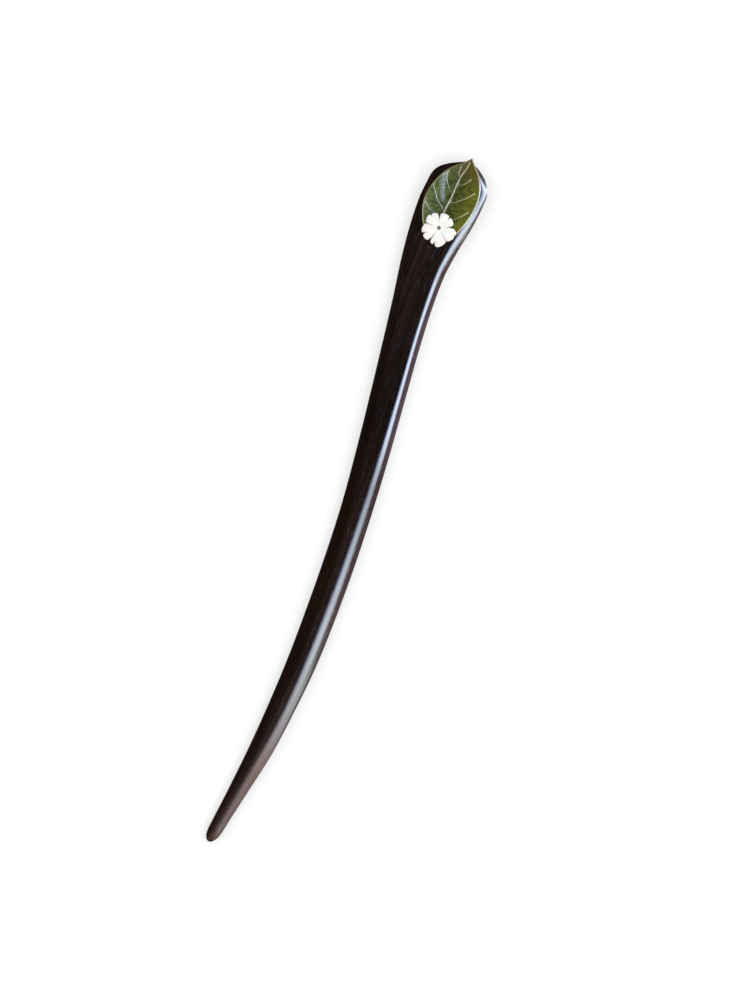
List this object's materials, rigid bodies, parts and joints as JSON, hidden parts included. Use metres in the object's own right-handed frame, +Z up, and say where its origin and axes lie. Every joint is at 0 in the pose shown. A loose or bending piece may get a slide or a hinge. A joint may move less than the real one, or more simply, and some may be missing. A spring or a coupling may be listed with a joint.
{
  "type": "hair stick",
  "caption": "Dark hardwood hair stick with a bowed, tapering shaft and a flared flat-faced head that carries a carved stone leaf and a shell flower.",
  "frame": {"origin": "middle of the footprint, on the surface that the hair stick's back rests on", "axes": "+X along the length from the tip to the head, +Y to the left of that, +Z up, the way the leaf and the flower face"},
  "size_m": [0.1808, 0.0176, 0.0091],
  "materials": {
    "hardwood": "hand-polished dark ebony, near black with faint brown grain, duller towards the tip",
    "leaf_stone": "polished green stone with frosty cream engraved veins and a pale bevelled rim",
    "shell": "polished white mother-of-pearl with a faint green and pink play of colour"
  },
  "bodies": {
    "root": {"stick": "hardwood", "leaf": "leaf_stone", "flower": "shell"}
  },
  "joints": []
}
